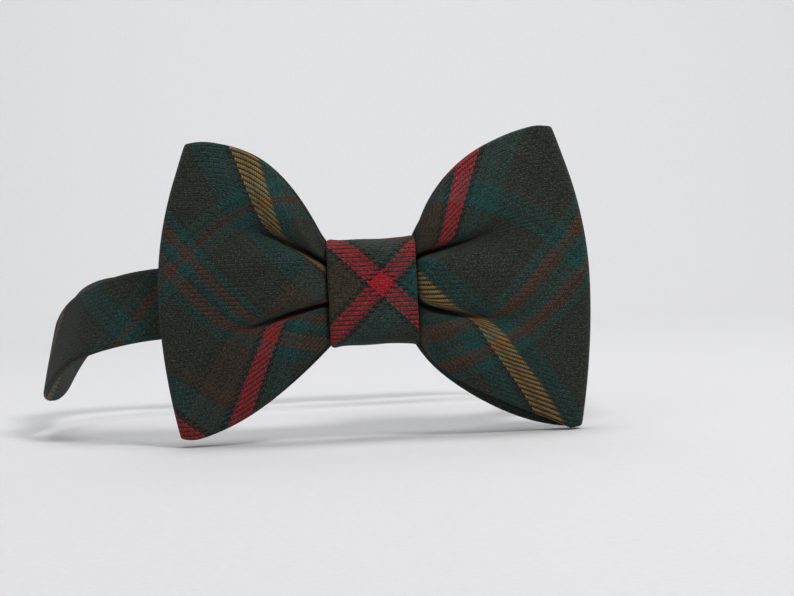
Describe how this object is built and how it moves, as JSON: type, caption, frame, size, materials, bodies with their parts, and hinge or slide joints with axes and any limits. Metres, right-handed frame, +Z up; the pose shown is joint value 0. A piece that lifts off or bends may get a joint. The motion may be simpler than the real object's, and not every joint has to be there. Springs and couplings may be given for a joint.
{
  "type": "bow tie",
  "caption": "Pre-tied bow tie with pleated wings, a wrapped knot and an adjustable neck strap that fastens with a hook and eye.",
  "frame": {"origin": "middle of the flat rear face of the knot, which rests on the collar", "axes": "+X along the bow towards the wearer's left, +Y back towards the wearer's neck, +Z up"},
  "size_m": [0.15, 0.1153, 0.0777],
  "materials": {
    "tartan_wool": "dark green tartan wool twill, cut on the bias",
    "knot_tartan": "the same tartan wool where two red stripes cross",
    "interlining": "plain woven interlining",
    "sewing_thread": "dark polyester sewing thread",
    "nickel_plate": "nickel plated steel strap fittings"
  },
  "bodies": {
    "bow": {"bow_shell": "tartan_wool", "bow_interlining": "interlining", "gather_thread": "sewing_thread", "knot_wrap": "knot_tartan", "knot_interlining": "interlining", "knot_closing_thread": "sewing_thread", "strap_front": "tartan_wool", "strap_front_interlining": "interlining"},
    "band_left": {"strap_left": "tartan_wool", "strap_left_interlining": "interlining", "eye_bartack": "sewing_thread"},
    "band_right": {"strap_right": "tartan_wool", "strap_right_interlining": "interlining"},
    "eye": {"strap_eye": "nickel_plate"},
    "hook": {"strap_hook": "nickel_plate"},
    "slider": {"strap_slider": "nickel_plate"}
  },
  "joints": [
    {"name": "band_left_open", "type": "hinge", "parent": "bow", "child": "band_left", "pos_m": [-0.09395, 0.04885, -0.02], "axis": [0, 0, 1], "range_deg": [0, 90]},
    {"name": "band_right_open", "type": "hinge", "parent": "bow", "child": "band_right", "pos_m": [0.05495, 0.03885, -0.02], "axis": [0, 0, 1], "range_deg": [-90, 0]},
    {"name": "eye_pivot", "type": "hinge", "parent": "band_left", "child": "eye", "pos_m": [-0.048, 0.09395, -0.004], "axis": [0, 0, 1], "range_deg": [-60, 60]},
    {"name": "hook_pivot", "type": "hinge", "parent": "band_right", "child": "hook", "pos_m": [-0.0192, 0.09395, -0.004], "axis": [0, 0, 1], "range_deg": [-60, 60]},
    {"name": "slider_travel", "type": "slide", "parent": "band_right", "child": "slider", "axis": [1, 0, 0], "range_m": [-0.007, 0.016]}
  ]
}
